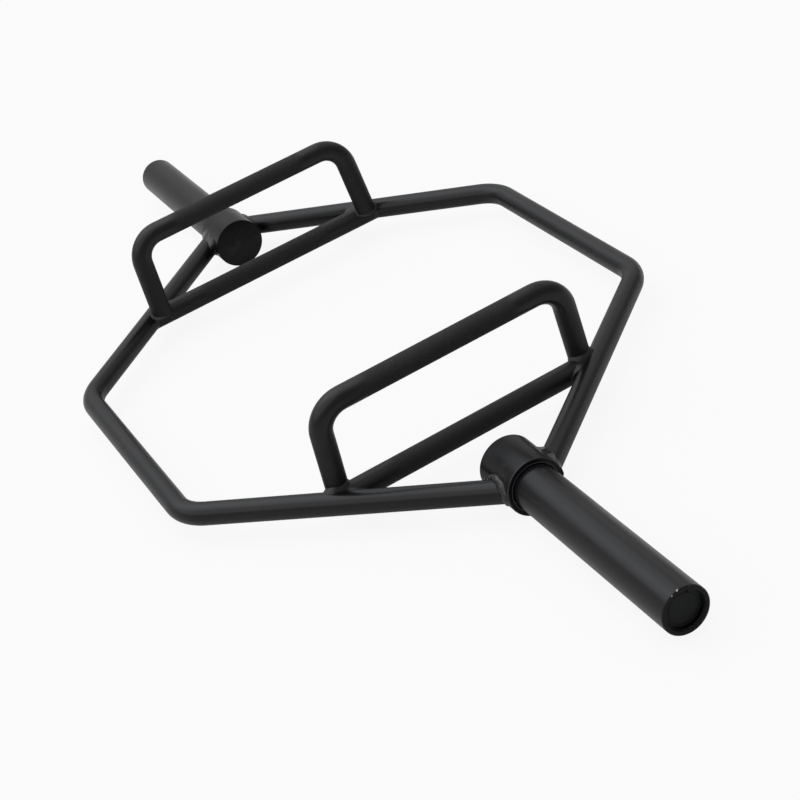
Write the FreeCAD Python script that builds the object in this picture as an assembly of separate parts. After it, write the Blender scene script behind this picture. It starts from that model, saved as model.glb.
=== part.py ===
import FreeCAD, Part
import math
import os

# Hex trap bar with two grip heights and turning sleeves.
# Millimetres. +X runs along the sleeves to the right, +Y to the rear, +Z up.
# The origin is on the floor under the middle of the bar, with both collars standing on the floor.

# Hexagon of two bent tubes
frame_width = 602.0             # over the outsides of the front and rear tubes
front_run = 334.5               # between the two corner points of one straight front or rear run
frame_tube_diameter = 25.4
frame_tube_wall = 3.0
frame_bend_radius = 57.0        # to the tube's centre line
tube_seat_from_face = 25.0      # from the collar's outer face to where a tube's centre line meets the collar

# Handles
handle_spacing = 566.0          # between the centre lines of the left and right handles
handle_diameter = 25.0
handle_wall = 3.0
handle_rise = 106.0             # raised grip above low grip, centre to centre
raised_bend_radius = 31.5       # to the tube's centre line
raised_foot_inset = 10.0        # feet stand this much nearer the middle than the grip
raised_foot_flare = 5.0         # feet stand this much further out than the ends of the grip
raised_foot_offset = 17.6       # from the foot's centre line square across to the frame tube's
raised_foot_height = 6.0        # where the leg is cut off, above the plane of the frame tubes

# Collars, each a hub closed by a plate on the inside
collar_span = 864.0             # between the outer faces of the two collars
collar_diameter = 63.0
collar_length = 60.0            # with its plate
collar_plate_thickness = 4.0
collar_rim_round = 1.2
collar_mouth_depth = 12.0       # pocket that takes the root of the sleeve
collar_mouth_chamfer = 0.6

# Sleeves
sleeve_length = 268.0           # clear of the collar, where the plates go
sleeve_diameter = 50.0
sleeve_bore = 30.0
sleeve_root_relief = 0.4        # root turned down where it sits in the collar
sleeve_end_chamfer = 1.0
end_recess_diameter = 41.0
end_recess_depth = 3.8          # from the sleeve's end to the ring that holds the end cap

# Axles, bushings, washers and rings
axle_diameter = 25.0
axle_end_chamfer = 1.0
axle_overhang = 3.0             # axle past its ring
bushing_wall = 3.5
bushing_length = 30.0
thrust_washer_thickness = 2.5
retaining_washer_thickness = 3.0
axle_ring_thickness = 1.5
axle_ring_width = 2.7           # across the ring's section
axle_ring_depth = 0.9           # ring's groove in the axle
axle_ring_lug_radius = 1.4
end_cap_thickness = 4.0
end_cap_edge_round = 0.6
end_cap_groove_radius = 15.5    # moulded ring in the cap's face, to its middle
end_cap_groove_width = 1.0
end_cap_groove_depth = 0.4
cap_ring_thickness = 1.6
cap_ring_width = 2.8            # across the ring's section
cap_ring_depth = 1.1            # ring's groove in the sleeve
cap_ring_lug_radius = 2.1
ring_gap_angle = 34.0           # opening of both snap rings, in degrees
ring_lug_wall = 0.7             # round the hole for the pliers

# Clearances
mouth_clearance = 0.6           # round the sleeve's root in the collar
running_clearance = 0.05        # between axle and bushing, on the radius
end_play = 0.3                  # sleeve to washer at each end
cap_clearance = 0.2             # round the end cap
cap_room = 6.0                  # between the end of the axle and the end cap
washer_clearance = 0.1          # washer bore round the axle
bore_clearance = 0.6            # washer and axle ring inside the turning sleeve

# Welds
collar_weld_leg = 4.5           # bead along the wall of each of the two pieces it joins
handle_weld_leg = 3.5
foot_weld_flare = 5.5           # spread of the tapered weld round a raised handle's foot
foot_weld_toe = 0.3             # its thickness where it runs out on the leg

frame_tube_radius = frame_tube_diameter / 2
handle_radius = handle_diameter / 2
collar_radius = collar_diameter / 2
sleeve_radius = sleeve_diameter / 2
axle_radius = axle_diameter / 2
axis_height = collar_radius

corner_x = front_run / 2
corner_y = frame_width / 2 - frame_tube_radius
collar_face = collar_span / 2
collar_inner = collar_face - collar_length
handle_x = handle_spacing / 2
sleeve_end = collar_face + sleeve_length
mouth_floor = collar_face - collar_mouth_depth
sleeve_start = mouth_floor + thrust_washer_thickness + end_play
bushing_radius = axle_radius + running_clearance + bushing_wall
recess_radius = end_recess_diameter / 2
cap_ring_outer = sleeve_end - end_recess_depth
cap_ring_inner = cap_ring_outer - cap_ring_thickness
cap_inner = cap_ring_inner - end_cap_thickness
axle_end = cap_inner - cap_room
axle_ring_outer = axle_end - axle_overhang
axle_ring_inner = axle_ring_outer - axle_ring_thickness
washer_inner = axle_ring_inner - retaining_washer_thickness
outer_bushing_end = washer_inner - end_play

seat_x = collar_face - tube_seat_from_face
slope_x = seat_x - corner_x
slope_y = collar_radius - corner_y
slope_length = math.hypot(slope_x, slope_y)
aim_x = seat_x - slope_x / slope_y * collar_radius


def at(x, y, z=0.0):
    """Point given from the middle of the bar at the height of the sleeves' axis."""
    return FreeCAD.Vector(x, y, axis_height + z)


def slope_y_at(x):
    """Distance of the sloped tubes' centre line from the sleeves' axis."""
    return corner_y + slope_y * (x - corner_x) / slope_x


def bent_line(points, bend_radius):
    """Straight runs through the points, with a tangent arc at each inner one."""
    edges = []
    start = points[0]
    for before, corner, after in zip(points, points[1:], points[2:]):
        into = (corner - before).normalize()
        out = (after - corner).normalize()
        half_bend = into.getAngle(out) / 2
        setback = bend_radius * math.tan(half_bend)
        arc_start = corner - into * setback
        arc_end = corner + out * setback
        inward = (out - into).normalize()
        arc_middle = corner + inward * (bend_radius / math.cos(half_bend) - bend_radius)
        edges.append(Part.LineSegment(start, arc_start).toShape())
        edges.append(Part.Arc(arc_start, arc_middle, arc_end).toShape())
        start = arc_end
    edges.append(Part.LineSegment(start, points[-1]).toShape())
    return Part.Wire(edges)


def swept_bar(points, bend_radius, radius):
    """Solid round bar along a bent line."""
    line = bent_line(points, bend_radius)
    along = points[1] - points[0]
    section = Part.Wire(Part.makeCircle(radius, points[0], along))
    return line.makePipeShell([section], True, False)


def turned(profile):
    """Solid of revolution about the sleeves' axis, from (place along it, radius) corners."""
    corners = [at(x, 0, radius) for x, radius in profile]
    face = Part.Face(Part.makePolygon(corners + corners[:1]))
    return face.revolve(at(0, 0), FreeCAD.Vector(1, 0, 0), 360)


def ring(inner_face, outer_face, inner_radius, outer_radius):
    """Plain ring on the sleeves' axis."""
    return turned([(inner_face, inner_radius), (outer_face, inner_radius),
                   (outer_face, outer_radius), (inner_face, outer_radius)])


def disc(inner_face, outer_face, radius):
    """Plain disc on the sleeves' axis."""
    return Part.makeCylinder(radius, outer_face - inner_face, at(inner_face, 0), FreeCAD.Vector(1, 0, 0))


def rounded_rim(shape, x, radius, size):
    """The shape with its round edge of that place and radius rounded over."""
    rim = [edge for edge in shape.Edges
           if isinstance(edge.Curve, Part.Circle)
           and abs(edge.Curve.Radius - radius) < 0.01
           and abs(edge.Curve.Center.x - x) < 0.01]
    return shape.makeFillet(size, rim)


def half_turn(shape):
    """Copy of a piece on the other side of the bar, turned about the middle."""
    copy = shape.copy()
    copy.rotate(FreeCAD.Vector(0, 0, 0), FreeCAD.Vector(0, 0, 1), 180)
    return copy


def frame_bar(radius):
    """Front tube of the hexagon as a solid bar, from one sleeve's axis to the other."""
    points = [at(-aim_x, 0), at(-corner_x, -corner_y), at(corner_x, -corner_y), at(aim_x, 0)]
    return swept_bar(points, frame_bend_radius, radius)


def sleeve_axis_bar(radius):
    """Long solid bar on the sleeves' axis, which copes what lands on a collar."""
    return Part.makeCylinder(radius, 2 * sleeve_end, at(-sleeve_end, 0), FreeCAD.Vector(1, 0, 0))


def inside_hexagon():
    """Prism bounded by the centre lines of the frame tubes."""
    corners = [(aim_x, 0), (corner_x, corner_y), (-corner_x, corner_y),
               (-aim_x, 0), (-corner_x, -corner_y), (corner_x, -corner_y)]
    points = [at(x, y, -handle_rise) for x, y in corners]
    face = Part.Face(Part.makePolygon(points + points[:1]))
    return face.extrude(FreeCAD.Vector(0, 0, 2 * handle_rise))


def low_handle_bar(radius):
    """Right low handle as a solid bar, longer than the gap between the frame tubes."""
    reach = slope_y_at(handle_x) + frame_tube_diameter
    return Part.makeCylinder(radius, 2 * reach, at(handle_x, -reach), FreeCAD.Vector(0, 1, 0))


def raised_handle_points():
    """Corner points of the right raised handle's centre line, from its front foot to its rear foot."""
    foot_x = handle_x - raised_foot_inset
    foot_y = slope_y_at(foot_x) - raised_foot_offset * slope_length / slope_x
    top_y = foot_y - raised_foot_flare
    return [at(foot_x, -foot_y), at(handle_x, -top_y, handle_rise),
            at(handle_x, top_y, handle_rise), at(foot_x, foot_y)]


def raised_handle_bar(radius):
    """Right raised handle as a solid bar, with its legs running down to the frame tubes' plane."""
    return swept_bar(raised_handle_points(), raised_bend_radius, radius)


def layer(bottom, top):
    """Slab of space between two heights above the plane of the frame tubes."""
    corner = at(-frame_width, -frame_width, bottom)
    return Part.makeBox(2 * frame_width, 2 * frame_width, top - bottom, corner)


def above_foot():
    """Space above the plane in which the raised handles' legs are cut off."""
    return layer(raised_foot_height, handle_rise + handle_diameter)


def make_frame_tube():
    """Front frame tube, coped to both collars."""
    tube = frame_bar(frame_tube_radius).cut(frame_bar(frame_tube_radius - frame_tube_wall))
    return tube.cut(sleeve_axis_bar(collar_radius))


def make_low_handle(frame_bars):
    """Right low handle, coped to the front and rear frame tubes."""
    tube = low_handle_bar(handle_radius).cut(low_handle_bar(handle_radius - handle_wall))
    return tube.common(inside_hexagon()).cut(frame_bars)


def make_raised_handle(frame_bars):
    """Right raised handle, with both feet coped to a frame tube and the end of the low handle."""
    tube = raised_handle_bar(handle_radius).cut(raised_handle_bar(handle_radius - handle_wall))
    return tube.common(above_foot()).cut(frame_bars).cut(low_handle_bar(handle_radius))


def make_collar_welds():
    """Beads round the ends of the two frame tubes on the right collar."""
    front_bar = frame_bar(frame_tube_radius)
    thick_bar = frame_bar(frame_tube_radius + collar_weld_leg)
    seat = disc(collar_inner + collar_rim_round, collar_face - collar_rim_round,
                collar_radius + collar_weld_leg)
    bead = thick_bar.common(seat).cut(sleeve_axis_bar(collar_radius)).cut(front_bar)
    front_half = Part.makeBox(2 * sleeve_end, sleeve_end, sleeve_end, at(0, -sleeve_end, -collar_diameter))
    front = bead.common(front_half)
    rear = front.mirror(at(0, 0), FreeCAD.Vector(0, 1, 0))
    return Part.makeCompound(front.Solids + rear.Solids)


def foot_cones():
    """Tapered bodies of the welds round both feet of the right raised handle."""
    bottom = raised_foot_height - handle_weld_leg
    top = frame_tube_radius + handle_weld_leg
    foot, corner = raised_handle_points()[:2]
    along = (corner - foot).normalize()
    cone = Part.makeCone(handle_radius + foot_weld_flare, handle_radius + foot_weld_toe,
                         top / along.z, foot, along)
    front = cone.common(layer(bottom, handle_rise))
    return front.fuse(front.mirror(at(0, 0), FreeCAD.Vector(0, 1, 0)))


def make_low_handle_welds(frame_bars):
    """Beads round both ends of the right low handle, up to the welds of the raised handle's feet."""
    thick_front_bar = frame_bar(frame_tube_radius + handle_weld_leg)
    thick_frame_bars = thick_front_bar.fuse(half_turn(thick_front_bar))
    thick_bar = low_handle_bar(handle_radius + handle_weld_leg).common(inside_hexagon())
    beads = thick_bar.common(thick_frame_bars).cut(frame_bars).cut(low_handle_bar(handle_radius))
    leg_ends = raised_handle_bar(handle_radius).common(above_foot())
    return Part.makeCompound(beads.cut(leg_ends).cut(foot_cones()).Solids)


def make_raised_handle_welds(frame_bars):
    """Tapered welds round both feet of the right raised handle, closing the legs' ends."""
    leg_ends = raised_handle_bar(handle_radius).common(above_foot())
    welds = foot_cones().cut(leg_ends).cut(frame_bars).cut(low_handle_bar(handle_radius))
    return Part.makeCompound(welds.Solids)


def make_collar():
    """Right collar: a hub bored for the axle, with a pocket for the sleeve's root."""
    mouth_radius = sleeve_radius + mouth_clearance
    back = collar_inner + collar_plate_thickness
    hub = turned([(back, axle_radius), (back, collar_radius),
                  (collar_face, collar_radius), (collar_face, mouth_radius + collar_mouth_chamfer),
                  (collar_face - collar_mouth_chamfer, mouth_radius),
                  (mouth_floor, mouth_radius), (mouth_floor, axle_radius)])
    return rounded_rim(hub, collar_face, collar_radius, collar_rim_round)


def make_collar_plate():
    """Right collar plate, closing the hub towards the lifter."""
    plate = disc(collar_inner, collar_inner + collar_plate_thickness, collar_radius)
    return rounded_rim(plate, collar_inner, collar_radius, collar_rim_round)


def make_axle():
    """Right axle, from the collar plate to just short of the end cap."""
    groove_radius = axle_radius - axle_ring_depth
    tip_radius = axle_radius - axle_end_chamfer
    start = collar_inner + collar_plate_thickness
    return turned([(start, 0), (start, axle_radius),
                   (axle_ring_inner, axle_radius), (axle_ring_inner, groove_radius),
                   (axle_ring_outer, groove_radius), (axle_ring_outer, axle_radius),
                   (axle_end - axle_end_chamfer, axle_radius), (axle_end, tip_radius), (axle_end, 0)])


def make_sleeve():
    """Right sleeve: bored through, opened out for the bushings, and recessed for the end cap."""
    bore_radius = sleeve_bore / 2
    groove_radius = recess_radius + cap_ring_depth
    inner_shoulder = sleeve_start + bushing_length
    outer_shoulder = outer_bushing_end - bushing_length
    root_radius = sleeve_radius - sleeve_root_relief
    tip_radius = sleeve_radius - sleeve_end_chamfer
    return turned([(sleeve_start, bushing_radius), (sleeve_start, root_radius),
                   (collar_face, root_radius), (collar_face, sleeve_radius),
                   (sleeve_end - sleeve_end_chamfer, sleeve_radius), (sleeve_end, tip_radius),
                   (sleeve_end, recess_radius), (cap_ring_outer, recess_radius),
                   (cap_ring_outer, groove_radius), (cap_ring_inner, groove_radius),
                   (cap_ring_inner, recess_radius), (cap_inner, recess_radius),
                   (cap_inner, bushing_radius), (outer_shoulder, bushing_radius),
                   (outer_shoulder, bore_radius), (inner_shoulder, bore_radius),
                   (inner_shoulder, bushing_radius)])


def make_bushing(inner_face):
    """Plain bronze bushing in the right sleeve, running on the axle."""
    return ring(inner_face, inner_face + bushing_length, axle_radius + running_clearance, bushing_radius)


def make_thrust_washer():
    """Washer on the floor of the right collar's pocket, which takes the sleeve's inward push."""
    return ring(mouth_floor, mouth_floor + thrust_washer_thickness,
                axle_radius + washer_clearance, sleeve_radius)


def make_retaining_washer():
    """Washer that keeps the right sleeve on its axle."""
    return ring(washer_inner, axle_ring_inner,
                axle_radius + washer_clearance, bushing_radius - bore_clearance)


def snap_ring(inner_face, outer_face, inner_radius, outer_radius, lug_place, lug_radius):
    """Open ring with a lug at each end, drilled for the pliers."""
    thickness = outer_face - inner_face
    along = FreeCAD.Vector(1, 0, 0)
    half_gap = math.radians(ring_gap_angle / 2)
    reach = 2 * outer_radius
    wedge_points = [at(inner_face, 0),
                    at(inner_face, reach * math.sin(half_gap), reach * math.cos(half_gap)),
                    at(inner_face, -reach * math.sin(half_gap), reach * math.cos(half_gap))]
    wedge = Part.Face(Part.makePolygon(wedge_points + wedge_points[:1])).extrude(along * thickness)
    shape = ring(inner_face, outer_face, inner_radius, outer_radius).cut(wedge)
    lug_angle = half_gap + lug_radius / lug_place
    for side in (-1, 1):
        centre = at(inner_face, side * lug_place * math.sin(lug_angle), lug_place * math.cos(lug_angle))
        lug = Part.makeCylinder(lug_radius, thickness, centre, along)
        hole = Part.makeCylinder(lug_radius - ring_lug_wall, thickness, centre, along)
        shape = shape.fuse(lug).cut(hole)
    return shape.removeSplitter()


def make_axle_ring():
    """External snap ring in the groove near the end of the right axle."""
    inner_radius = axle_radius - axle_ring_depth
    outer_radius = inner_radius + axle_ring_width
    lug_place = bushing_radius - bore_clearance - axle_ring_lug_radius
    return snap_ring(axle_ring_inner, axle_ring_outer, inner_radius, outer_radius,
                     lug_place, axle_ring_lug_radius)


def make_cap_ring():
    """Internal snap ring in the right sleeve's recess, in front of the end cap."""
    outer_radius = recess_radius + cap_ring_depth
    inner_radius = outer_radius - cap_ring_width
    lug_place = recess_radius - cap_clearance - cap_ring_lug_radius
    return snap_ring(cap_ring_inner, cap_ring_outer, inner_radius, outer_radius,
                     lug_place, cap_ring_lug_radius)


def make_end_cap():
    """Right end cap, a disc on the shoulder of the sleeve's recess with a ring moulded into its face."""
    radius = recess_radius - cap_clearance
    cap = disc(cap_inner, cap_ring_inner, radius)
    cap = rounded_rim(cap, cap_ring_inner, radius, end_cap_edge_round)
    groove = ring(cap_ring_inner - end_cap_groove_depth, cap_ring_outer,
                  end_cap_groove_radius - end_cap_groove_width / 2,
                  end_cap_groove_radius + end_cap_groove_width / 2)
    return cap.cut(groove)


def make_parts():
    """All pieces by name."""
    front_bar = frame_bar(frame_tube_radius)
    frame_bars = front_bar.fuse(half_turn(front_bar))
    front_tube = make_frame_tube()
    parts = {"front_frame_tube": front_tube, "rear_frame_tube": half_turn(front_tube)}
    right_pieces = {
        "low_handle": make_low_handle(frame_bars),
        "raised_handle": make_raised_handle(frame_bars),
        "collar_welds": make_collar_welds(),
        "low_handle_welds": make_low_handle_welds(frame_bars),
        "raised_handle_welds": make_raised_handle_welds(frame_bars),
        "collar": make_collar(),
        "collar_plate": make_collar_plate(),
        "axle": make_axle(),
        "thrust_washer": make_thrust_washer(),
        "retaining_washer": make_retaining_washer(),
        "axle_ring": make_axle_ring(),
        "sleeve": make_sleeve(),
        "inner_bushing": make_bushing(sleeve_start),
        "outer_bushing": make_bushing(outer_bushing_end - bushing_length),
        "end_cap": make_end_cap(),
        "cap_ring": make_cap_ring(),
    }
    for name, piece in right_pieces.items():
        parts["right_" + name] = piece
        parts["left_" + name] = half_turn(piece)
    return parts


os.makedirs("parts", exist_ok=True)
for name, piece in make_parts().items():
    piece.exportStep(os.path.join("parts", name + ".step"))
    print(f"{name}: {len(piece.Solids)} solid, {piece.Volume / 1000:.2f} cm3, valid {piece.isValid()}")
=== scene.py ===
import bpy
import bmesh
import math
from mathutils import Matrix, Vector, noise


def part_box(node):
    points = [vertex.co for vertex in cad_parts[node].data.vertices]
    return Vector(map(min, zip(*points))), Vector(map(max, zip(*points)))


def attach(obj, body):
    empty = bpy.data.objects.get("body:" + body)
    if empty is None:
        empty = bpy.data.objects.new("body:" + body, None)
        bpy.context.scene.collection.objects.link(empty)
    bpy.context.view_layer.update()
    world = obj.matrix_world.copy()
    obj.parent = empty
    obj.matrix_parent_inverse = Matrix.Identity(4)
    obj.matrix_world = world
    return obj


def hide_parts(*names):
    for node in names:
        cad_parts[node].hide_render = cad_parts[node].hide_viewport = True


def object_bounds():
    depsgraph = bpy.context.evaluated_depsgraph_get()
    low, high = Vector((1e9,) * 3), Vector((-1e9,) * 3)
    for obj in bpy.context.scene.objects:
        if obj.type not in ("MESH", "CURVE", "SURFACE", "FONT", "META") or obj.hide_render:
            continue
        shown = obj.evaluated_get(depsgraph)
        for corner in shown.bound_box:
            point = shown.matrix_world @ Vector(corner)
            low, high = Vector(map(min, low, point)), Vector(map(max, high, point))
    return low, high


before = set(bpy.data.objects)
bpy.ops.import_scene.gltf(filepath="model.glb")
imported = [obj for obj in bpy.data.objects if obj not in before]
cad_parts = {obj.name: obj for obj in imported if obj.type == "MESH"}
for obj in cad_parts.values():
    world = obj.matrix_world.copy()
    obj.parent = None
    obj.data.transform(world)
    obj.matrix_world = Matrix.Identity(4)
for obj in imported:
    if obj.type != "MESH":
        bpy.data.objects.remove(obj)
cad_low, cad_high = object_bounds()

# Frame tubes.
# Two mild steel tubes, each bent twice to make half of the hexagon, with both ends coped to the collars.
# They carry the whole load, and the welded bar is sprayed and baked with black powder.
collar_low, collar_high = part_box("right_collar")
collar_radius = collar_high.y
axis_height = collar_high.z / 2
axis_middle = Vector((0, 0, axis_height))
bar_end = cad_high.x
tube_radius = 0.0127
tube_sides = 48
tube_crease = math.radians(35)  # edges of a tube that turn by more than this stay sharp
bend_radius = 0.057
bend_steps = 14
front_run = 0.3345              # between the corner points of a straight front or rear run
seat_from_face = 0.025          # from the collar's outer face to where a tube's middle meets the collar
corner_x = front_run / 2
corner_y = cad_high.y - tube_radius
seat_x = collar_high.x - seat_from_face
slope = (corner_y - collar_radius) / (seat_x - corner_x)
aim_x = seat_x + collar_radius / slope


def linear(hex_colour):
    """Linear colour of an sRGB hex value."""
    channels = [int(hex_colour[i:i + 2], 16) / 255 for i in (1, 3, 5)]
    bent = [c / 12.92 if c <= 0.04045 else ((c + 0.055) / 1.055) ** 2.4 for c in channels]
    return (*bent, 1.0)


def add_node(tree, kind, inputs=None, **settings):
    """Adds a node with its settings. An input is a value, or the output socket it is linked from."""
    node = tree.nodes.new(kind)
    for name, value in settings.items():
        setattr(node, name, value)
    for name, value in (inputs or {}).items():
        if isinstance(value, bpy.types.NodeSocket):
            tree.links.new(value, node.inputs[name])
        else:
            node.inputs[name].default_value = value
    return node


def new_material(name):
    """Empty material, with its node tree, its output and its Object coordinates."""
    material = bpy.data.materials.new(name)
    material.use_nodes = True
    tree = material.node_tree
    tree.nodes.clear()
    output = add_node(tree, "ShaderNodeOutputMaterial")
    place = add_node(tree, "ShaderNodeTexCoord").outputs["Object"]
    return material, tree, output, place


def powder_coat(name, dark, light, smooth, rough, gloss, smudge, dry=None):
    """Baked black polyester powder: a skin like fine orange peel over a dull body colour.
    The eye sees soft broad highlights whose sheen drifts from place to place, and faint dusty smudges.
    Where dry, which makes nodes from the place on the piece, gives 1, the powder lay thin and is matt."""
    peel_width = 0.0022             # from one bump of the skin to the next
    peel_height = 0.0001
    peel_strength = 0.2
    grain_width = 0.0006            # powder grains that did not flow out, drawn coarse so that they show
    grain_height = 0.00002
    grain_strength = 0.15
    drift_width = 0.045
    smoothest, roughest = 0.32, 0.68    # levels of the drift between which the sheen changes
    smudge_width = 0.022
    clean, dustiest = 0.56, 0.72        # levels of the marks between which a smudge fades in
    smudge_colour = linear("#3a3d3c")
    dry_roughness = 0.52
    resin_ior = 1.5
    material, tree, output, place = new_material(name)
    drift = add_node(tree, "ShaderNodeTexNoise", {"Vector": place, "Scale": 1 / drift_width, "Detail": 4.0})
    marks = add_node(tree, "ShaderNodeTexNoise", {"Vector": place, "Scale": 1 / smudge_width, "Detail": 5.0,
                                                  "Roughness": 0.65})
    dusty = add_node(tree, "ShaderNodeMapRange", {"Value": marks.outputs["Fac"], "From Min": clean,
                                                  "From Max": dustiest, "To Min": 0.0, "To Max": smudge})
    body = add_node(tree, "ShaderNodeMix", {"Factor": drift.outputs["Fac"], "A": linear(dark),
                                            "B": linear(light)}, data_type="RGBA")
    shade = add_node(tree, "ShaderNodeMix", {"Factor": dusty.outputs["Result"], "A": body.outputs["Result"],
                                             "B": smudge_colour}, data_type="RGBA")
    sheen = add_node(tree, "ShaderNodeMapRange", {"Value": drift.outputs["Fac"], "From Min": smoothest,
                                                  "From Max": roughest, "To Min": smooth, "To Max": rough})
    roughness = sheen.outputs["Result"]
    if dry:
        matt = add_node(tree, "ShaderNodeMix", {"Factor": dry(tree, place), "A": roughness,
                                                "B": dry_roughness})
        roughness = matt.outputs["Result"]
    peel = add_node(tree, "ShaderNodeTexNoise", {"Vector": place, "Scale": 1 / peel_width, "Detail": 1.0})
    grain = add_node(tree, "ShaderNodeTexNoise", {"Vector": place, "Scale": 1 / grain_width, "Detail": 1.0})
    low_skin = add_node(tree, "ShaderNodeBump", {"Height": peel.outputs["Fac"], "Strength": peel_strength,
                                                 "Distance": peel_height})
    skin = add_node(tree, "ShaderNodeBump", {"Height": grain.outputs["Fac"], "Strength": grain_strength,
                                             "Distance": grain_height, "Normal": low_skin.outputs["Normal"]})
    shader = add_node(tree, "ShaderNodeBsdfPrincipled", {
        "Base Color": shade.outputs["Result"], "Roughness": roughness, "IOR": resin_ior,
        "Specular IOR Level": gloss, "Normal": skin.outputs["Normal"]})
    tree.links.new(shader.outputs["BSDF"], output.inputs["Surface"])
    return material


def dress(piece, material):
    """Gives a piece one finish all over."""
    piece.data.materials.clear()
    piece.data.materials.append(material)


def only(piece):
    """Selects one piece and nothing else."""
    bpy.ops.object.select_all(action="DESELECT")
    piece.select_set(True)
    bpy.context.view_layer.objects.active = piece


def on_plane(x, y):
    """Point in the plane in which the middles of the frame tubes lie."""
    return Vector((x, y, axis_height))


def start_ring(name, sides, radius, centre, along):
    """New piece in edit mode: one ring of edges, square to a direction."""
    bpy.ops.object.select_all(action="DESELECT")
    bpy.ops.mesh.primitive_circle_add(vertices=sides, radius=radius, location=centre,
                                      rotation=along.to_track_quat("Z", "Y").to_euler())
    piece = bpy.context.object
    piece.name = name
    bpy.ops.object.transform_apply(location=True, rotation=True, scale=True)
    bpy.ops.object.mode_set(mode="EDIT")
    bpy.ops.mesh.select_mode(type="EDGE")
    bpy.ops.mesh.select_all(action="SELECT")
    return piece


def draw_on(step):
    """Draws the selected ring out along a straight step."""
    bpy.ops.mesh.extrude_region_move(TRANSFORM_OT_translate={"value": step})


def draw_round(pen, before, corner, after, radius):
    """Draws the selected ring from the pen's place to a corner and round it in an arc, whose end it gives."""
    into = (corner - before).normalized()
    out = (after - corner).normalized()
    angle = into.angle(out)
    setback = radius * math.tan(angle / 2)
    inward = (out - into).normalized()
    centre = corner + inward * (radius / math.cos(angle / 2))
    draw_on(corner - into * setback - pen)
    bpy.ops.mesh.spin(steps=bend_steps, angle=angle, center=centre, axis=out.cross(into).normalized())
    return corner + out * setback


def close_ends():
    """Fills every open ring of the piece in edit mode, turns its faces outwards and ends the edit."""
    bpy.ops.mesh.select_all(action="DESELECT")
    bpy.ops.mesh.select_mode(type="EDGE")
    bpy.ops.mesh.select_non_manifold(extend=False, use_wire=False, use_boundary=True, use_multi_face=False,
                                     use_non_contiguous=False, use_verts=False)
    bpy.ops.mesh.edge_face_add()
    bpy.ops.mesh.select_all(action="SELECT")
    bpy.ops.mesh.normals_make_consistent(inside=False)
    bpy.ops.object.mode_set(mode="OBJECT")


def cope(piece, start, end, radius):
    """Cuts a round bar's shape out of a piece, as a hole saw fits the end of a tube to what it lands on."""
    cutter_sides = 96
    bpy.ops.object.select_all(action="DESELECT")
    bpy.ops.mesh.primitive_cylinder_add(vertices=cutter_sides, radius=radius, depth=(end - start).length,
                                        location=(start + end) / 2,
                                        rotation=(end - start).to_track_quat("Z", "Y").to_euler())
    cutter = bpy.context.object
    only(piece)
    cut = piece.modifiers.new("cope", "BOOLEAN")
    cut.operation = "DIFFERENCE"
    cut.solver = "EXACT"
    cut.object = cutter
    bpy.ops.object.modifier_apply(modifier=cut.name)
    bpy.data.objects.remove(cutter)


def smooth_faces(piece, crease):
    """Shades a piece smooth, apart from the edges at which it turns by more than the crease."""
    only(piece)
    bpy.ops.object.shade_smooth_by_angle(angle=crease)


def half_turn(piece, name):
    """Copy of a finished piece on the other side of the bar, turned about the middle."""
    only(piece)
    bpy.ops.object.duplicate()
    copy = bpy.context.object
    copy.name = name
    copy.rotation_euler.z = math.pi
    bpy.ops.object.transform_apply(location=True, rotation=True, scale=True)
    return copy


def settle(piece, node):
    """Fixes a piece that stands for a CAD node to the bar, which is one welded body."""
    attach(piece, "frame")
    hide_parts(node)


frame_paint = powder_coat("satin_black_powder_coat", "#0e0e10", "#111113",
                          smooth=0.25, rough=0.34, gloss=0.33, smudge=0.08)
tube_line = [on_plane(-aim_x, 0), on_plane(-corner_x, -corner_y), on_plane(corner_x, -corner_y),
             on_plane(aim_x, 0)]
front_tube = start_ring("front_tube", tube_sides, tube_radius, tube_line[0], tube_line[1] - tube_line[0])
pen = tube_line[0]
for before, corner, after in zip(tube_line, tube_line[1:], tube_line[2:]):
    pen = draw_round(pen, before, corner, after, bend_radius)
draw_on(tube_line[-1] - pen)
close_ends()
cope(front_tube, on_plane(-bar_end, 0), on_plane(bar_end, 0), collar_radius)
smooth_faces(front_tube, tube_crease)
dress(front_tube, frame_paint)
rear_tube = half_turn(front_tube, "rear_tube")
settle(front_tube, "front_frame_tube")
settle(rear_tube, "rear_frame_tube")

# Low handles.
# Straight steel tubes between the front and rear frame tubes, in the plane of the hexagon.
# The grip in the middle is rolled with a diamond knurl, then coated with the rest of the bar.
handle_low, handle_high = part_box("right_low_handle")
handle_x = (handle_low.x + handle_high.x) / 2
handle_radius = 0.0125
handle_end_y = corner_y - slope * (handle_x - corner_x)
grip_length = 0.194
knurl_columns = 40              # coarser than a knurl mostly is, so that its diamonds show
knurl_rows = 99
knurl_height = 0.00028
knurl_root = handle_radius - knurl_height
knurl_fade = 0.014              # length over which the knurl runs out at each end
knurl_shoulder = 0.0006         # length of the step down to the knurl's root at each end
knurl_crease = math.radians(15)


def resize_ring(centre, scale):
    """Widens or narrows the selected ring about its middle."""
    bpy.ops.transform.resize(value=(scale, scale, scale), center_override=centre)


def draw_grip(middle, along):
    """Draws the selected ring from the start of a grip to its end, at the knurl's root in between."""
    half = along * (grip_length / 2)
    inside = along * knurl_shoulder
    draw_on(inside)
    resize_ring(middle - half + inside, knurl_root / handle_radius)
    draw_on(2 * half - 2 * inside)
    draw_on(inside)
    resize_ring(middle + half, handle_radius / knurl_root)


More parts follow.
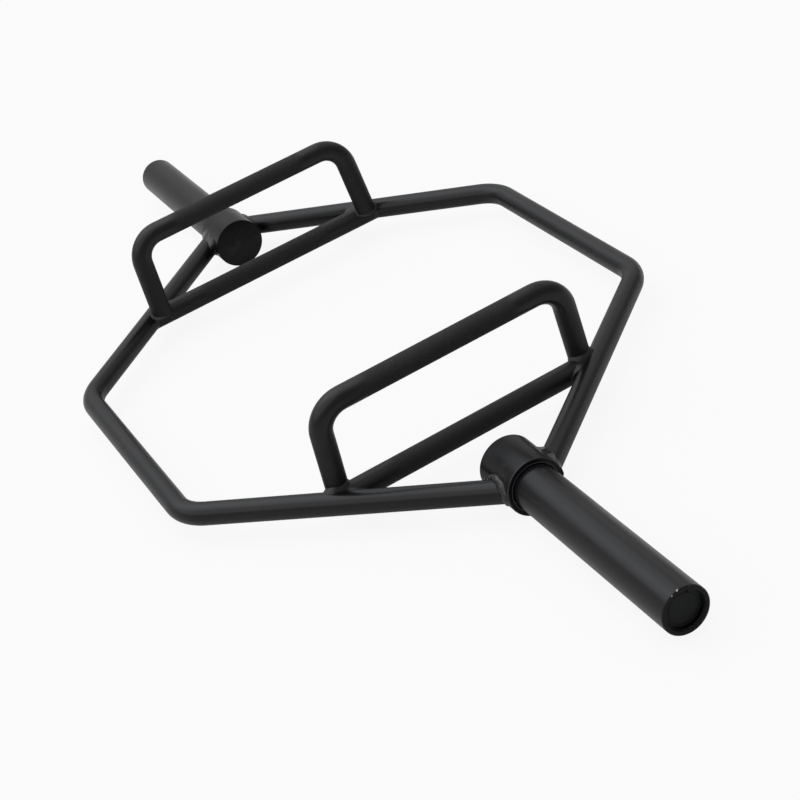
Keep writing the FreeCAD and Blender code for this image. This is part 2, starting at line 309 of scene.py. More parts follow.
def roll_knurl(piece, middle):
    """Turns the plain band of a grip, which runs along Y, into rows of raised diamonds."""
    reach = grip_length / 2 - knurl_shoulder
    slack = knurl_shoulder / 10

    def pick_band():
        """Selects the faces of the band."""
        bpy.ops.mesh.select_mode(type="FACE")
        bpy.ops.mesh.select_all(action="DESELECT")
        band = bmesh.from_edit_mesh(piece.data)
        for face in band.faces:
            face.select_set(all(abs(v.co.y - middle.y) < reach + slack
                                and (v.co - middle).xz.length < handle_radius for v in face.verts))
        bmesh.update_edit_mesh(piece.data)

    # Cut the band into square rows.
    only(piece)
    bpy.ops.object.mode_set(mode="EDIT")
    bpy.ops.mesh.select_mode(type="EDGE")
    bpy.ops.mesh.select_all(action="DESELECT")
    mesh = bmesh.from_edit_mesh(piece.data)
    for edge in mesh.edges:
        ends = sorted(v.co.y - middle.y for v in edge.verts)
        near_grip = all((v.co - middle).xz.length < handle_radius for v in edge.verts)
        edge.select_set(near_grip and abs(ends[0] + reach) < slack and abs(ends[1] - reach) < slack)
    bpy.ops.mesh.subdivide_edgering(number_cuts=knurl_rows - 1, interpolation="LINEAR")

    # Make diamonds of the squares: each gets a middle, and then the sides between them go.
    pick_band()
    bpy.ops.mesh.poke(offset=0.0)
    bpy.ops.mesh.select_mode(type="EDGE")
    bpy.ops.mesh.select_all(action="DESELECT")
    mesh = bmesh.from_edit_mesh(piece.data)
    mesh.verts.ensure_lookup_table()
    mesh.verts.index_update()
    centres = {v.index for v in mesh.verts if len(v.link_edges) == 4 and all(
        len(face.verts) == 3 for face in v.link_faces)}
    for edge in mesh.edges:
        beside = [face for face in edge.link_faces if any(v.index in centres for v in face.verts)]
        edge.select_set(len(beside) == 2 and not any(v.index in centres for v in edge.verts))
    bpy.ops.mesh.dissolve_edges(use_verts=False, use_face_split=False)

    # Raise each diamond to a point, and sink the lines between them less and less towards the ends.
    pick_band()
    bpy.ops.mesh.poke(offset=knurl_height)
    bpy.ops.object.mode_set(mode="OBJECT")
    for vert in piece.data.vertices:
        outward = Vector((vert.co.x - middle.x, 0, vert.co.z - middle.z))
        to_end = reach - abs(vert.co.y - middle.y)
        if to_end > -slack and outward.length < handle_radius - knurl_height / 2:
            depth = knurl_height * min(1, max(0, to_end / knurl_fade))
            vert.co += outward.normalized() * (handle_radius - depth - outward.length)


def on_grip(tree, place):
    """1 on the knurled middle of a handle, 0 on its smooth ends."""
    across = add_node(tree, "ShaderNodeSeparateXYZ", {0: place}).outputs["Y"]
    from_middle = add_node(tree, "ShaderNodeMath", {0: across}, operation="ABSOLUTE")
    grip = add_node(tree, "ShaderNodeMapRange", {
        "Value": from_middle.outputs[0], "From Min": grip_length / 2 - knurl_fade,
        "From Max": grip_length / 2, "To Min": 1.0, "To Max": 0.0}, interpolation_type="SMOOTHSTEP")
    return grip.outputs["Result"]


low_paint = powder_coat("powder_coat_over_knurl", "#0b0b0c", "#0d0d0e",
                        smooth=0.38, rough=0.46, gloss=0.33, smudge=0.10, dry=on_grip)
right_grip = on_plane(handle_x, 0)
rearward = Vector((0, 1, 0))
right_low = start_ring("right_low_grip", knurl_columns, handle_radius,
                       right_grip - rearward * handle_end_y, rearward)
draw_on(rearward * (handle_end_y - grip_length / 2))
draw_grip(right_grip, rearward)
draw_on(rearward * (handle_end_y - grip_length / 2))
close_ends()
for side in (-1, 1):
    cope(right_low, on_plane(aim_x, 0), on_plane(corner_x, side * corner_y), tube_radius)
roll_knurl(right_low, right_grip)
smooth_faces(right_low, knurl_crease)
dress(right_low, low_paint)
left_low = half_turn(right_low, "left_low_grip")
settle(right_low, "right_low_handle")
settle(left_low, "left_low_handle")

# Raised handles.
# Steel tubes bent to a U, which give a second, higher grip above each low handle.
# Both feet are coped to a frame tube and to the end of the low handle, and welded all round.
handle_rise = 0.106
raised_bend_radius = 0.0315
foot_inset = 0.010              # feet stand nearer the middle of the bar than the grip
foot_flare = 0.005              # feet stand further apart than the ends of the grip
foot_offset = 0.0176            # from the foot's middle square across to the frame tube's
foot_height = 0.006             # where the leg is cut off, above the plane of the frame tubes
foot_x = handle_x - foot_inset
foot_y = corner_y - slope * (foot_x - corner_x) - foot_offset * math.hypot(1, slope)
top_y = foot_y - foot_flare
top_z = axis_height + handle_rise
dry_leg_top = axis_height + 0.090   # below this the powder on a leg lay thin, in the lee of the tubes
dry_leg_fade = 0.035


def on_grip_or_leg(tree, place):
    """1 on the knurled middle of a raised handle and low on its legs, 0 on its bends."""
    height = add_node(tree, "ShaderNodeSeparateXYZ", {0: place}).outputs["Z"]
    leg = add_node(tree, "ShaderNodeMapRange", {
        "Value": height, "From Min": dry_leg_top - dry_leg_fade, "From Max": dry_leg_top, "To Min": 1.0,
        "To Max": 0.0}, interpolation_type="SMOOTHSTEP")
    most = add_node(tree, "ShaderNodeMath", {0: on_grip(tree, place), 1: leg.outputs["Result"]},
                    operation="MAXIMUM")
    return most.outputs[0]


raised_paint = powder_coat("powder_coat_over_raised_knurl", "#0d0d0e", "#101011",
                           smooth=0.26, rough=0.34, gloss=0.33, smudge=0.10, dry=on_grip_or_leg)
raised_grip = Vector((handle_x, 0, top_z))
half_grip = rearward * (grip_length / 2)
raised_line = [on_plane(foot_x, -foot_y), Vector((handle_x, -top_y, top_z)),
               Vector((handle_x, top_y, top_z)), on_plane(foot_x, foot_y)]
right_raised = start_ring("right_raised_grip", knurl_columns, handle_radius,
                          raised_line[0], raised_line[1] - raised_line[0])
pen = draw_round(raised_line[0], *raised_line[:3], raised_bend_radius)
draw_on(raised_grip - half_grip - pen)
draw_grip(raised_grip, rearward)
pen = draw_round(raised_grip + half_grip, *raised_line[1:], raised_bend_radius)
draw_on(raised_line[3] - pen)
bpy.ops.mesh.select_all(action="SELECT")
bpy.ops.mesh.bisect(plane_co=axis_middle + Vector((0, 0, foot_height)), plane_no=(0, 0, 1), clear_inner=True)
close_ends()
for side in (-1, 1):
    cope(right_raised, on_plane(aim_x, 0), on_plane(corner_x, side * corner_y), tube_radius)
cope(right_raised, right_grip - rearward * handle_end_y, right_grip + rearward * handle_end_y, handle_radius)
roll_knurl(right_raised, raised_grip)
smooth_faces(right_raised, knurl_crease)
dress(right_raised, raised_paint)
left_raised = half_turn(right_raised, "left_raised_grip")
settle(right_raised, "right_raised_handle")
settle(left_raised, "left_raised_handle")

# Collars.
# Turned steel hubs on which the frame tubes land, each with a plate that closes its inner end.
# The outer end is a rounded rim round the pocket in which the sleeve turns.
axle_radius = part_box("right_axle")[1].y
mouth_radius = 0.0256
mouth_depth = 0.012
mouth_floor = collar_high.x - mouth_depth
mouth_ease = 0.0006
reflection_ring_radius = 0.0269          # out to here the mouth's edge is painted light grey, a painted reflection of the floor
rim_round = 0.0012
edge_ease = 0.0003              # edges that are only deburred
ease_steps = 4
turned_sides = 160
merge_distance = 0.000001       # points of a mesh that are nearer than this become one
near = 0.00001                  # how far a point may be off a place that it is looked for at


def turn_piece(name, profile):
    """Piece turned about the bar's axis. Its closed profile gives the place along the bar of each edge,
    its radius there, and how far the edge is rounded off."""
    along = Vector((1, 0, 0))
    place, radius, _ = profile[0]
    piece = start_ring(name, turned_sides, radius, axis_middle + along * place, along)
    for next_place, next_radius, _ in profile[1:] + profile[:1]:
        draw_on(along * (next_place - place))
        resize_ring(axis_middle + along * next_place, next_radius / radius)
        place, radius = next_place, next_radius
    bpy.ops.mesh.select_all(action="SELECT")
    bpy.ops.mesh.remove_doubles(threshold=merge_distance)
    bpy.ops.mesh.normals_make_consistent(inside=False)
    bpy.ops.object.mode_set(mode="OBJECT")
    bpy.ops.object.shade_smooth()
    largest = max(ease for place, radius, ease in profile)
    weights = piece.data.attributes.new("bevel_weight_edge", "FLOAT", "EDGE")
    for edge in piece.data.edges:
        ends = [piece.data.vertices[index].co - axis_middle for index in edge.vertices]
        for place, radius, ease in profile:
            if all(abs(end.x - place) < near and abs(end.yz.length - radius) < near for end in ends):
                weights.data[edge.index].value = ease / largest
    bevel = piece.modifiers.new("ease", "BEVEL")
    bevel.width = largest
    bevel.segments = ease_steps
    bevel.limit_method = "WEIGHT"
    bevel.harden_normals = True
    bpy.ops.object.modifier_apply(modifier=bevel.name)
    return piece


def dress_band(piece, material, start, end, least, most):
    """Gives the faces of a turned piece between two places and two radii a finish of their own."""
    piece.data.materials.append(material)
    for face in piece.data.polygons:
        radius = (face.center - axis_middle).yz.length
        if start - near < face.center.x < end + near and least - near < radius < most + near:
            face.material_index = len(piece.data.materials) - 1


collar_paint = powder_coat("matt_black_powder_coat", "#0a0a0c", "#0d0d0f",
                           smooth=0.23, rough=0.31, gloss=0.24, smudge=0.34)
face_paint = powder_coat("dull_black_face_coat", "#101012", "#131315",
                         smooth=0.18, rough=0.24, gloss=0.16, smudge=0.05)
# Glossier coat for the rim's rounded edge; its lighter colour is a painted highlight along the edge.
rim_highlight_paint = powder_coat("black_powder_coat_with_painted_rim_highlight", "#121214", "#171719",
                           smooth=0.20, rough=0.26, gloss=0.44, smudge=0.05)
# Light grey coat for the mouth's edge: a painted reflection of the floor in the rim's inner round.
reflection_ring_paint = powder_coat("grey_painted_reflection_ring", "#414345", "#494b4d",
                     smooth=0.42, rough=0.52, gloss=0.20, smudge=0.05)
right_hub = turn_piece("right_hub", [
    (collar_low.x, axle_radius, edge_ease), (collar_low.x, collar_radius, edge_ease),
    (collar_high.x, collar_radius, rim_round), (collar_high.x, reflection_ring_radius, 0.0),
    (collar_high.x, mouth_radius, mouth_ease),
    (mouth_floor, mouth_radius, edge_ease), (mouth_floor, axle_radius, edge_ease)])
dress(right_hub, collar_paint)
# The rounded rim: a glossier coat, with a painted highlight in its lighter colour.
dress_band(right_hub, rim_highlight_paint, collar_high.x - rim_round, collar_high.x,
           collar_radius - rim_round, collar_radius)
dress_band(right_hub, face_paint, collar_high.x, collar_high.x, reflection_ring_radius, collar_radius - rim_round)
# The mouth's edge is painted light grey, as a painted reflection of the floor.
dress_band(right_hub, reflection_ring_paint, collar_high.x - mouth_ease, collar_high.x, mouth_radius, reflection_ring_radius)
left_hub = half_turn(right_hub, "left_hub")
settle(right_hub, "right_collar")
settle(left_hub, "left_collar")
for side in ("left", "right"):
    dress(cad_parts[f"{side}_collar_plate"], collar_paint)

# Welds.
# Fillets of weld metal round every joint, laid by hand in overlapping ripples, then coated with the bar.
# The paint rounds off the ripples and fills the toes of the beads.
proud_bead = (0.0050, 0.0014, 0.0002)       # from root to toe, swell of the face, height of the ripples
flowed_bead = (0.0078, -0.0006, 0.0001)
handle_bead = (0.0062, 0.0004, 0.0003)
foot_bead = (0.0034, 0.0002, 0.0001)
corner_fill = 0.5               # how much heavier a handle's beads are in the narrow corner at the tube
underside = 0.65                # how much thinner a bead is on the underside, as a share of it
seat_lead = 0.5                 # how far along the tube a bead's toe is sought on the other bar, in widths
cut_share = 0.5                 # share of its width that a bead keeps round a cut end
uneven = 0.45                   # how much a bead's size wanders, as a share of it
uneven_face = 0.9               # the same for the swell of its face
lump_length = 0.007
ripple_pitch = 0.0030
ripple_bow = 0.45               # how far a ripple's middle runs ahead of its ends, in ripples
toe_sink = 0.00025              # toes and roots lie in the metal, so that a bead shows no open edge
root_sink = 0.0010
bead_steps = 288
bead_facets = 9                 # round a bead, the last two of them in the metal
face_facets = bead_facets - 2
corner_steps = 4                # steps to each side over which the corners of a bead's lines are eased
bead_crease = math.radians(60)


def first_meeting(start, along, bars):
    """Distance from a point to the nearest of some round bars along a direction, with that bar, or None."""
    found = []
    for bar in bars:
        middle, axis, radius = bar
        offset = start - middle
        offset = offset - axis * offset.dot(axis)
        across = along - axis * along.dot(axis)
        a = across.length_squared
        b = offset.dot(across)
        c = offset.length_squared - radius ** 2
        if b * b > a * c:
            found.append(((-b - math.sqrt(b * b - a * c)) / a, bar))
    return min(found, key=lambda meeting: meeting[0]) if found else None


def onto(bar, point):
    """Point on a round bar's skin nearest to another point."""
    middle, axis, radius = bar
    foot = middle + axis * (point - middle).dot(axis)
    return foot + (point - foot).normalized() * radius


def joint_lines(start, along, radius, bars, furthest, heavy, size):
    """Lines round a joint: the toe of the bead on the tube, its root, its toe on what the tube meets.
    The tube runs from its start to the bars, or as far as furthest says. The bead is larger towards
    the heavy side, by the length of that vector."""
    side = along.orthogonal().normalized()
    toes, roots, seats = [], [], []
    for step in range(bead_steps):
        turn = 2 * math.pi * step / bead_steps
        outward = Matrix.Rotation(turn, 3, along) @ side
        skin = start + outward * radius
        limit = furthest(skin)
        reach, bar = first_meeting(skin, along, bars) or (limit, None)
        root = skin + along * min(reach, limit)
        width = size * (1 - underside * max(0, -outward.z)) * (1 + heavy.dot(outward))
        toe = root - along * width * (1 + uneven * noise.noise(root / lump_length + along))
        seat = root + (outward + along * seat_lead) * width * (1 + uneven * noise.noise(root / lump_length))
        toes.append(toe - outward * toe_sink)
        roots.append(root + (along - outward) * root_sink)
        if bar and reach < limit:
            seats.append(onto(bar, seat) + along * toe_sink)
        else:
            seats.append(root + outward * width * cut_share)
    return toes, roots, seats


def softened(line):
    """Closed line with its corners eased, each point the mean of those near it."""
    count = len(line)
    span = range(-corner_steps, corner_steps + 1)
    return [sum((line[(index + step) % count] for step in span), Vector()) / len(span)
            for index in range(count)]


def lay_bead(lines, swell_height, ripple_height):
    """A strip of mesh wrapped round a joint between its lines, with the ripples of a weld on its face."""
    toes, roots, seats = lines
    length = sum((roots[index] - roots[index - 1]).length for index in range(bead_steps))
    ripples = round(length / ripple_pitch)
    full_bead = max(((toe + seat) / 2 - root).length for toe, root, seat in zip(*lines))
    bpy.ops.object.select_all(action="DESELECT")
    bpy.ops.mesh.primitive_grid_add(x_subdivisions=bead_steps, y_subdivisions=bead_facets, size=1.0)
    bead = bpy.context.object
    for vert in bead.data.vertices:
        turn = vert.co.x + 0.5
        step = round(turn * bead_steps) % bead_steps
        facet = round((vert.co.y + 0.5) * bead_facets)
        toe, root, seat = toes[step], roots[step], seats[step]
        if facet > face_facets:
            vert.co = root if facet < bead_facets else toe
            continue
        across = facet / face_facets
        swell = 4 * across * (1 - across)
        away = (toe + seat) / 2 - root
        swell *= min(1, away.length / full_bead)
        away.normalize()
        lump = swell_height * (1 + uneven_face * noise.noise(root / lump_length - away))
        crest = 0.5 + 0.5 * math.cos(2 * math.pi * (ripples * turn + ripple_bow * swell))
        vert.co = toe.lerp(seat, across) + away * swell * (lump + ripple_height * crest)
    bpy.ops.object.mode_set(mode="EDIT")
    bpy.ops.mesh.select_all(action="SELECT")
    bpy.ops.mesh.remove_doubles(threshold=merge_distance)
    bpy.ops.mesh.normals_make_consistent(inside=False)
    bpy.ops.object.mode_set(mode="OBJECT")
    smooth_faces(bead, bead_crease)
    return bead


def weld(name, joints, paint):
    """One piece with a bead round each joint, which is given as joint_lines takes it, and with its bead."""
    beads = []
    for joint, (size, swell_height, ripple_height) in joints:
        lines = [softened(line) for line in joint_lines(*joint, size)]
        beads.append(lay_bead(lines, swell_height, ripple_height))
    bpy.ops.object.select_all(action="DESELECT")
    for bead in beads:
        bead.select_set(True)
    bpy.context.view_layer.objects.active = beads[0]
    bpy.ops.object.join()
    piece = bpy.context.object
    piece.name = name
    dress(piece, paint)
    return piece


def no_limit(skin):
    """A tube that runs on until it meets something."""
    return math.inf


weld_paint = powder_coat("powder_coat_over_weld", "#0e0e10", "#111113",
                         smooth=0.18, rough=0.26, gloss=0.50, smudge=0.08)
# Handle welds sit in shaded corners; their lighter grey body is painted light there, with a few more smudges.
painted_light_weld_paint = powder_coat("powder_coat_over_weld_with_painted_light", "#161618", "#1b1b1d",
                          smooth=0.34, rough=0.44, gloss=0.40, smudge=0.20)
collar_bar = (axis_middle, Vector((1, 0, 0)), collar_radius)
low_bar = (right_grip, rearward, handle_radius)
evenly = Vector()
outwards = Vector((corner_fill, 0, 0))
collar_joints = []
low_joints = []
foot_joints = []
for side, collar_bead in ((-1, proud_bead), (1, flowed_bead)):
    corner = on_plane(corner_x, side * corner_y)
    along_tube = (on_plane(aim_x, 0) - corner).normalized()
    tube_bar = (corner, along_tube, tube_radius)
    to_tube = along_tube.cross(Vector((0, 0, -side)))
    shoulder = Vector((handle_x, side * top_y, top_z))
    down = (on_plane(foot_x, side * foot_y) - shoulder).normalized()

    def to_cut_end(skin, down=down):
        """Distance down the leg's skin to the height at which the leg is cut off."""
        return (skin.z - axis_height - foot_height) / -down.z

    collar_joints.append(((corner, along_tube, tube_radius, [collar_bar], no_limit, evenly), collar_bead))
    low_joints.append(((right_grip, rearward * side, handle_radius, [tube_bar], no_limit, outwards),
                       handle_bead))
    foot_joints.append(((shoulder, down, handle_radius, [tube_bar, low_bar], to_cut_end,
                         to_tube * corner_fill), foot_bead))
for name, joints, paint in (("collar_welds", collar_joints, weld_paint),
                            ("low_handle_welds", low_joints, painted_light_weld_paint),
                            ("raised_handle_welds", foot_joints, painted_light_weld_paint)):
    right_weld = weld("right_" + name + "_beads", joints, paint)
    left_weld = half_turn(right_weld, "left_" + name + "_beads")
    settle(right_weld, "right_" + name)
    settle(left_weld, "left_" + name)

# Sleeves.
# Turned steel tubes that take the plates and turn on the axles inside them.
# They are coated with the same black powder, smoother than the bent tubes, and chipped at the outer edge,
# where one chip is placed as a painted glint.
sleeve_low, sleeve_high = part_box("right_sleeve")
sleeve_radius = sleeve_high.y
root_relief = 0.0004            # the root is turned down a little to clear the collar's mouth
root_radius = sleeve_radius - root_relief
step_ease = 0.00015             # edges of steps too low for two full rounds
bore_radius = 0.015
recess_radius = 0.0205
ring_groove_radius = 0.0216
end_chamfer = 0.0010
inner_bushing_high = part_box("right_inner_bushing")[1]
outer_bushing_low, outer_bushing_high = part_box("right_outer_bushing")
cap_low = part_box("right_end_cap")[0]
ring_low, ring_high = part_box("right_cap_ring")


def chip_with_painted_glint(material):
    """Wears a coat through to bare bright steel in small chips, one of them placed as a painted glint."""
    chip_width = 0.005
    glint_seed = 9.0                 # the pattern of chips that puts one at the top of the edge, as a painted glint
    coated, bared = 0.60, 0.64      # levels of the spots between which the coat gives way to steel
    bright_steel = linear("#d8d9db")
    tree = material.node_tree
    shader = tree.nodes["Principled BSDF"]
    place = tree.nodes["Texture Coordinate"].outputs["Object"]
    spots = add_node(tree, "ShaderNodeTexNoise", {"Vector": place, "W": glint_seed, "Scale": 1 / chip_width,
                                                  "Detail": 3.0}, noise_dimensions="4D")
    bare = add_node(tree, "ShaderNodeMapRange", {"Value": spots.outputs["Fac"], "From Min": coated,
                                                 "From Max": bared})
    coat = shader.inputs["Base Color"].links[0].from_socket
    shade = add_node(tree, "ShaderNodeMix", {"Factor": bare.outputs["Result"], "A": coat,
                                             "B": bright_steel}, data_type="RGBA")
    tree.links.new(shade.outputs["Result"], shader.inputs["Base Color"])
    tree.links.new(bare.outputs["Result"], shader.inputs["Metallic"])


sleeve_paint = powder_coat("satin_black_sleeve_coat", "#0c0c0e", "#0f0f11",
                           smooth=0.22, rough=0.29, gloss=0.31, smudge=0.04)
end_paint = powder_coat("dull_black_end_coat", "#151517", "#19191b",
                        smooth=0.30, rough=0.40, gloss=0.14, smudge=0.10)
thin_paint = powder_coat("thin_black_recess_coat", "#252527", "#2d2d2f",
                         smooth=0.26, rough=0.34, gloss=0.30, smudge=0.30)
glint_chip_paint = sleeve_paint.copy()
glint_chip_paint.name = "chipped_black_edge_coat_with_painted_glint"
chip_with_painted_glint(glint_chip_paint)
right_sleeve = turn_piece("right_plate_sleeve", [
    (sleeve_low.x, inner_bushing_high.y, edge_ease), (sleeve_low.x, root_radius, edge_ease),
    (collar_high.x, root_radius, step_ease), (collar_high.x, sleeve_radius, step_ease),
    (bar_end - end_chamfer, sleeve_radius, edge_ease), (bar_end, sleeve_radius - end_chamfer, edge_ease),
    (bar_end, recess_radius, edge_ease), (ring_high.x, recess_radius, step_ease),
    (ring_high.x, ring_groove_radius, step_ease), (ring_low.x, ring_groove_radius, step_ease),
    (ring_low.x, recess_radius, step_ease), (cap_low.x, recess_radius, edge_ease),
    (cap_low.x, outer_bushing_high.y, edge_ease), (outer_bushing_low.x, outer_bushing_high.y, edge_ease),
    (outer_bushing_low.x, bore_radius, edge_ease), (inner_bushing_high.x, bore_radius, edge_ease),
    (inner_bushing_high.x, inner_bushing_high.y, edge_ease)])
dress(right_sleeve, sleeve_paint)
dress_band(right_sleeve, end_paint, bar_end - edge_ease, bar_end, recess_radius, sleeve_radius - end_chamfer)
dress_band(right_sleeve, thin_paint, ring_high.x, bar_end - edge_ease,
           recess_radius, recess_radius + edge_ease)
# The edge's chamfer: chips of bare steel, one of them a painted glint.
dress_band(right_sleeve, glint_chip_paint, bar_end - end_chamfer - edge_ease, bar_end,
           sleeve_radius - end_chamfer, sleeve_radius)
left_sleeve = half_turn(right_sleeve, "left_plate_sleeve")
for side, sleeve in (("left", left_sleeve), ("right", right_sleeve)):
    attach(sleeve, f"{side}_sleeve_turning")
    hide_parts(f"{side}_sleeve")


# End caps.
# Moulded black discs that close the sleeves' ends, each behind a snap ring.
# The mould's fine spark texture leaves their faces dull, with a plain ring let into them.
def moulded_plastic(name, dark, light, rough, gloss):
    """Black plastic from a spark-eroded mould: a dull even grain, a little lighter where it was handled."""
    grain_width = 0.0008            # coarser than real spark texture, so that it shows
    grain_height = 0.00006
    grain_strength = 0.3
    touch_width = 0.011
    plastic_ior = 1.54
    material, tree, output, place = new_material(name)
    touch = add_node(tree, "ShaderNodeTexNoise", {"Vector": place, "Scale": 1 / touch_width, "Detail": 4.0})
    body = add_node(tree, "ShaderNodeMix", {"Factor": touch.outputs["Fac"], "A": linear(dark),
                                            "B": linear(light)}, data_type="RGBA")
    grain = add_node(tree, "ShaderNodeTexVoronoi", {"Vector": place, "Scale": 1 / grain_width},
                     feature="SMOOTH_F1")
    skin = add_node(tree, "ShaderNodeBump", {"Height": grain.outputs["Distance"], "Strength": grain_strength,
                                             "Distance": grain_height})
    shader = add_node(tree, "ShaderNodeBsdfPrincipled", {
        "Base Color": body.outputs["Result"], "Roughness": rough, "IOR": plastic_ior,
        "Specular IOR Level": gloss, "Normal": skin.outputs["Normal"]})
    tree.links.new(shader.outputs["BSDF"], output.inputs["Surface"])
    return material


cap_plastic = moulded_plastic("moulded_black_abs", "#0a0c0b", "#111312", rough=0.48, gloss=0.20)
for side in ("left", "right"):
    dress(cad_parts[f"{side}_end_cap"], cap_plastic)


# Axles, washers and rings.
# Ground steel axles with hardened washers and spring steel rings, which the sleeves hide.
# All of it is oiled and uncoated, except the cap rings, which are blackened.
def turned_metal(name, dark, light, smooth, rough, pitch):
    """Bare metal off a lathe: fine tool marks run round the bar's axis, so highlights streak along it.
    The colour and the sheen drift a little where oil has dried."""
    oil_width = 0.014
    smoothest, roughest = 0.3, 0.7      # levels of the oil between which the sheen changes
    mark_height = 0.000002
    mark_strength = 0.5
    wave_rate = 20                      # radians of the wave in a unit of its node's length
    material, tree, output, place = new_material(name)
    oil = add_node(tree, "ShaderNodeTexNoise", {"Vector": place, "Scale": 1 / oil_width, "Detail": 3.0})
    body = add_node(tree, "ShaderNodeMix", {"Factor": oil.outputs["Fac"], "A": linear(dark),
                                            "B": linear(light)}, data_type="RGBA")
    sheen = add_node(tree, "ShaderNodeMapRange", {"Value": oil.outputs["Fac"], "From Min": smoothest,
                                                  "From Max": roughest, "To Min": smooth, "To Max": rough})
    marks = add_node(tree, "ShaderNodeTexWave", {"Vector": place, "Scale": math.tau / wave_rate / pitch,
                                                 "Distortion": 1.5, "Detail": 2.0}, bands_direction="X")
    skin = add_node(tree, "ShaderNodeBump", {"Height": marks.outputs["Fac"], "Strength": mark_strength,
                                             "Distance": mark_height})
    shader = add_node(tree, "ShaderNodeBsdfPrincipled", {
        "Base Color": body.outputs["Result"], "Roughness": sheen.outputs["Result"], "Metallic": 1.0,
        "Normal": skin.outputs["Normal"]})
    tree.links.new(shader.outputs["BSDF"], output.inputs["Surface"])
    return material


steel = turned_metal("ground_steel", "#8d9093", "#a3a6a8", smooth=0.22, rough=0.32, pitch=0.0003)
spring_steel = turned_metal("blackened_spring_steel", "#1d1e20", "#2a2b2d",
                            smooth=0.34, rough=0.46, pitch=0.0006)
for side in ("left", "right"):
    for part in ("axle", "thrust_washer", "retaining_washer", "axle_ring"):
        dress(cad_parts[f"{side}_{part}"], steel)
    dress(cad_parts[f"{side}_cap_ring"], spring_steel)

# Bushings.
# Sintered bronze sleeves full of oil, pressed into both ends of each sleeve's bore.
# The axles run in them.
bronze = turned_metal("sintered_bronze", "#8f6a34", "#a8824a", smooth=0.38, rough=0.50, pitch=0.0004)
for side in ("left", "right"):
    for part in ("inner_bushing", "outer_bushing"):
        dress(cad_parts[f"{side}_{part}"], bronze)

# Floor.
# A plain pale floor under the bar, matt and evenly white to the eye, which keeps the bar's soft shadow.
# Shiny surfaces see less of the even white, so that they also mirror the shade under the bar.
floor_width = 24.0
floor_white_seen = 0.9          # share of the floor's white that is even, and not lit and shaded
floor_white_mirrored = 0.1


def white_share(tree, seen, mirrored):
    """How much of an even white a surface shows: one share to the eye, one in mirrors and through glass."""
    path = add_node(tree, "ShaderNodeLightPath")
    to_eye = add_node(tree, "ShaderNodeMath", {0: path.outputs["Is Camera Ray"], 1: seen},
                      operation="MULTIPLY")
    bent = add_node(tree, "ShaderNodeMath", {0: path.outputs["Is Glossy Ray"],
                                             1: path.outputs["Is Transmission Ray"]}, operation="MAXIMUM")
    in_mirror = add_node(tree, "ShaderNodeMath", {0: bent.outputs[0], 1: mirrored}, operation="MULTIPLY")
    share = add_node(tree, "ShaderNodeMath", {0: to_eye.outputs[0], 1: in_mirror.outputs[0]},
                     operation="MAXIMUM")
    return share.outputs[0]


bpy.ops.object.select_all(action="DESELECT")
bpy.ops.mesh.primitive_plane_add(size=floor_width, location=(0, 0, 0))
floor = bpy.context.object
floor.name = "floor"
pale, tree, output, _ = new_material("pale_matt_floor")
matt = add_node(tree, "ShaderNodeBsdfDiffuse", {"Color": linear("#cccccc")})
even = add_node(tree, "ShaderNodeEmission", {"Color": linear("#ffffff"), "Strength": 1.0})
mix = add_node(tree, "ShaderNodeMixShader", {0: white_share(tree, floor_white_seen, floor_white_mirrored),
                                             1: matt.outputs[0], 2: even.outputs[0]})
tree.links.new(mix.outputs[0], output.inputs["Surface"])
dress(floor, pale)

# Light.
# A pale wall all round, darker behind the camera and to its right, and three wide soft boxes high above.
# Their edges draw the bands along the tubes and sleeves.
wall_light = 0.59
wall_shade = 0.67               # how much darker the wall is on its dark side
wall_dark_side = math.radians(45)
wall_top = 0.9                  # sine of the height at which the wall has turned into the ceiling
ceiling_light = 0.32
wall_white_seen = 0.98          # share of the wall that shows as an even white, whatever its light
wall_white_mirrored = 0.1
box_distance = 8.0
world = bpy.data.worlds.new("studio")
bpy.context.scene.world = world
world.use_nodes = True
tree = world.node_tree
tree.nodes.clear()
output = add_node(tree, "ShaderNodeOutputWorld")
direction = add_node(tree, "ShaderNodeTexCoord").outputs["Generated"]
height = add_node(tree, "ShaderNodeSeparateXYZ", {0: direction}).outputs["Z"]
dark_side = (math.cos(wall_dark_side), math.sin(wall_dark_side), 0)
sideways = add_node(tree, "ShaderNodeVectorMath", {0: direction, 1: dark_side}, operation="DOT_PRODUCT")
wall = add_node(tree, "ShaderNodeMapRange", {
    "Value": sideways.outputs["Value"], "From Min": -1.0, "From Max": 1.0, "To Min": wall_light,
    "To Max": wall_light * (1 - wall_shade)})
fade = add_node(tree, "ShaderNodeMapRange", {
    "Value": height, "From Min": 0.0, "From Max": wall_top, "To Min": wall.outputs["Result"],
    "To Max": ceiling_light}, interpolation_type="SMOOTHSTEP")
shown = add_node(tree, "ShaderNodeMix", {"Factor": white_share(tree, wall_white_seen, wall_white_mirrored),
                                         "A": fade.outputs["Result"], "B": 1.0})
glow = add_node(tree, "ShaderNodeBackground", {"Color": linear("#ffffff"),
                                               "Strength": shown.outputs["Result"]})
tree.links.new(glow.outputs[0], output.inputs["Surface"])


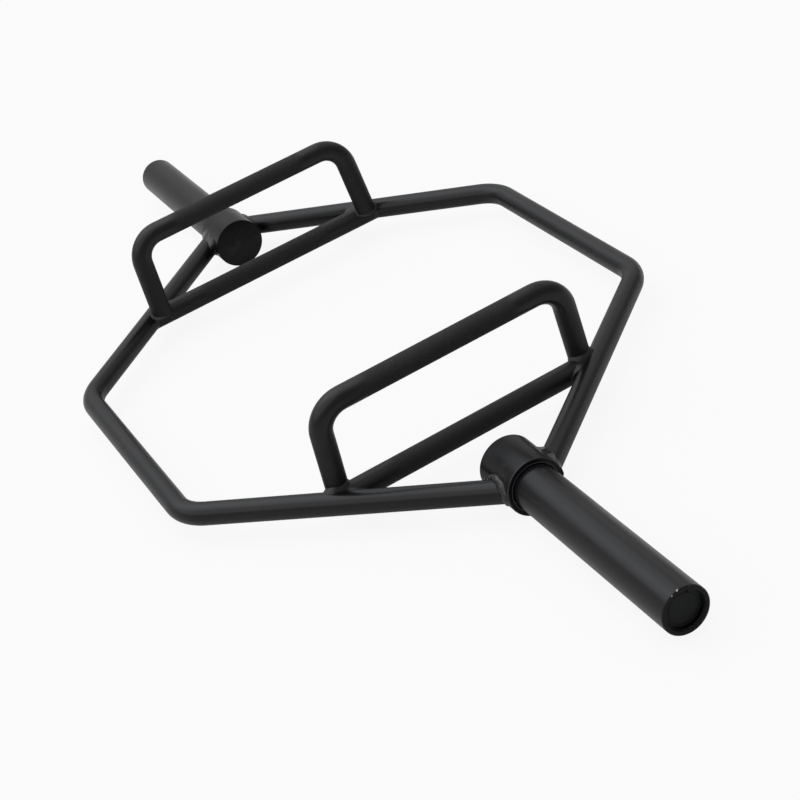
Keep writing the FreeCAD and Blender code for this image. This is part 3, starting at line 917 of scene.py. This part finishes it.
def soft_box(name, colour, azimuth, elevation, width, brightness):
    """Round area light that faces the middle of the bar, from a direction in degrees. It is given
    the brightness of its face, from which its power follows."""
    lamp = bpy.data.lights.new(name, "AREA")
    lamp.shape = "DISK"
    lamp.color = linear(colour)[:3]
    lamp.size = width
    lamp.energy = brightness * math.pi * math.pi * width ** 2 / 4
    box = bpy.data.objects.new(name, lamp)
    bpy.context.scene.collection.objects.link(box)
    level = math.cos(math.radians(elevation))
    away = Vector((level * math.cos(math.radians(azimuth)), level * math.sin(math.radians(azimuth)),
                   math.sin(math.radians(elevation))))
    box.location = axis_middle + away * box_distance
    box.rotation_euler = away.to_track_quat("Z", "Y").to_euler()


soft_box("rear_box", "#eef4ff", azimuth=202, elevation=60, width=10.9, brightness=0.58)
soft_box("front_box", "#ffffff", azimuth=-97, elevation=63, width=15.7, brightness=0.86)
soft_box("far_box", "#ffffff", azimuth=139, elevation=63.4, width=15.9, brightness=0.34)

# Camera.
# Stands off the right-hand end, above the bar, and leans to its left as in the photo.
# Its distance, lens and shift are those that lay the bar's outlines over the photo's.
azimuth = math.radians(72.70)
elevation = math.radians(30.37)
roll = math.radians(-19.21)
distance = 2.26527
aside = 0.08421                 # camera's place off the line through the middle, to its right and up
above = -0.05806
focal_pixels = 1951.94
middle_pixel = (428.13, 388.30)
picture = 800                   # width and height of the photo in pixels
camera = bpy.data.cameras.new("camera")
camera.sensor_width = 36.0
camera.lens = focal_pixels / picture * camera.sensor_width
camera.shift_x = 0.5 - middle_pixel[0] / picture
camera.shift_y = middle_pixel[1] / picture - 0.5
view = bpy.data.objects.new("camera", camera)
bpy.context.scene.collection.objects.link(view)
turned = (Matrix.Rotation(azimuth, 4, "Z") @ Matrix.Rotation(math.pi / 2 - elevation, 4, "X")
          @ Matrix.Rotation(roll, 4, "Z"))
view.matrix_world = Matrix.Translation(axis_middle + turned @ Vector((aside, above, distance))) @ turned
bpy.context.scene.camera = view
bpy.context.scene.view_settings.view_transform = "Standard"
